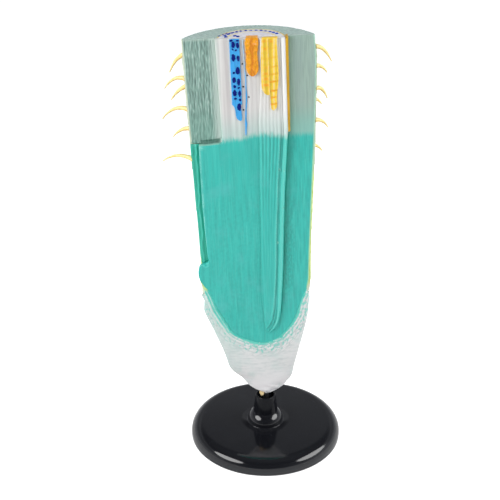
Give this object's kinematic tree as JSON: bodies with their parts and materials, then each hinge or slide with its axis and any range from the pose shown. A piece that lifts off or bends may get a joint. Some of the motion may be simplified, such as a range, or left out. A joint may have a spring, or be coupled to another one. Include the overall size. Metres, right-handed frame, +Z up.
{
  "type": "plant root model",
  "caption": "Lengthwise-cut teaching model of a root tip with cross-section top, root hairs and white cap, turning on and lifting off a round black stand.",
  "frame": {"origin": "centre of the stand's underside", "axes": "+Z up along the stand's axis, -Y towards the cut front of the root, +X to the viewer's right"},
  "size_m": [0.1734, 0.152, 0.4246],
  "materials": {
    "black_plastic": "glossy moulded",
    "iron": "raw",
    "cover_plastic": "matte",
    "steel": "turned",
    "raw_wood": "raw turned",
    "cap_white": "painted, satin",
    "skin_cream": "painted, satin",
    "turquoise": "painted, satin",
    "cortex_grey": "painted, satin",
    "stele_white": "painted, satin",
    "ochre": "painted, satin",
    "xylem_blue": "painted, gloss",
    "cell_navy": "painted, gloss",
    "dot_black": "painted, gloss",
    "phloem_orange": "painted, gloss",
    "sieve_yellow": "painted, gloss",
    "hair_cream": "moulded, satin"
  },
  "bodies": {
    "stand": {"base_moulding": "black_plastic", "socket_collar": "black_plastic", "ballast_ring": "iron", "base_cover": "cover_plastic", "cover_screws": "steel"},
    "rod": {"mounting_rod": "steel", "rod_washer": "steel", "rod_screw": "steel"},
    "root_model": {"wood_plug": "raw_wood", "root_cap": "cap_white", "back_shell": "skin_cream", "front_plate": "turquoise", "left_edge_strip": "turquoise", "left_cortex_panel": "cortex_grey", "right_cortex_panel": "cortex_grey", "stele_column": "turquoise", "endodermis_strip": "ochre", "xylem_strip": "xylem_blue", "xylem_cells": "cell_navy", "protoxylem_strand": "xylem_blue", "pit_dots": "dot_black", "phloem_relief": "phloem_orange", "sieve_tube_left": "sieve_yellow", "sieve_tube_right": "sieve_yellow", "top_cortex": "cortex_grey", "top_stele": "stele_white", "top_endodermis_band": "sieve_yellow", "top_xylem_dots": "cell_navy", "root_hair_left_1": "hair_cream", "root_hair_left_2": "hair_cream", "root_hair_left_3": "hair_cream", "root_hair_left_4": "hair_cream", "root_hair_left_5": "hair_cream", "root_hair_left_6": "hair_cream", "root_hair_right_1": "hair_cream", "root_hair_right_2": "hair_cream", "root_hair_right_3": "hair_cream", "root_hair_right_4": "hair_cream", "root_hair_right_5": "hair_cream", "root_hair_right_6": "hair_cream", "root_hair_back_1": "hair_cream", "root_hair_back_2": "hair_cream", "root_hair_back_3": "hair_cream", "root_hair_back_4": "hair_cream", "root_hair_back_5": "hair_cream", "root_hair_back_6": "hair_cream", "root_hair_back_7": "hair_cream", "root_hair_back_8": "hair_cream", "root_hair_back_9": "hair_cream", "root_hair_back_10": "hair_cream", "root_hair_back_11": "hair_cream", "root_hair_back_12": "hair_cream"}
  },
  "joints": [
    {"name": "swivel", "type": "hinge", "parent": "stand", "child": "rod", "pos_m": [0, 0, 0.047], "axis": [0, 0, 1], "continuous": true},
    {"name": "lift_off", "type": "slide", "parent": "rod", "child": "root_model", "axis": [0, 0, 1], "range_m": [0, 0.05]}
  ]
}
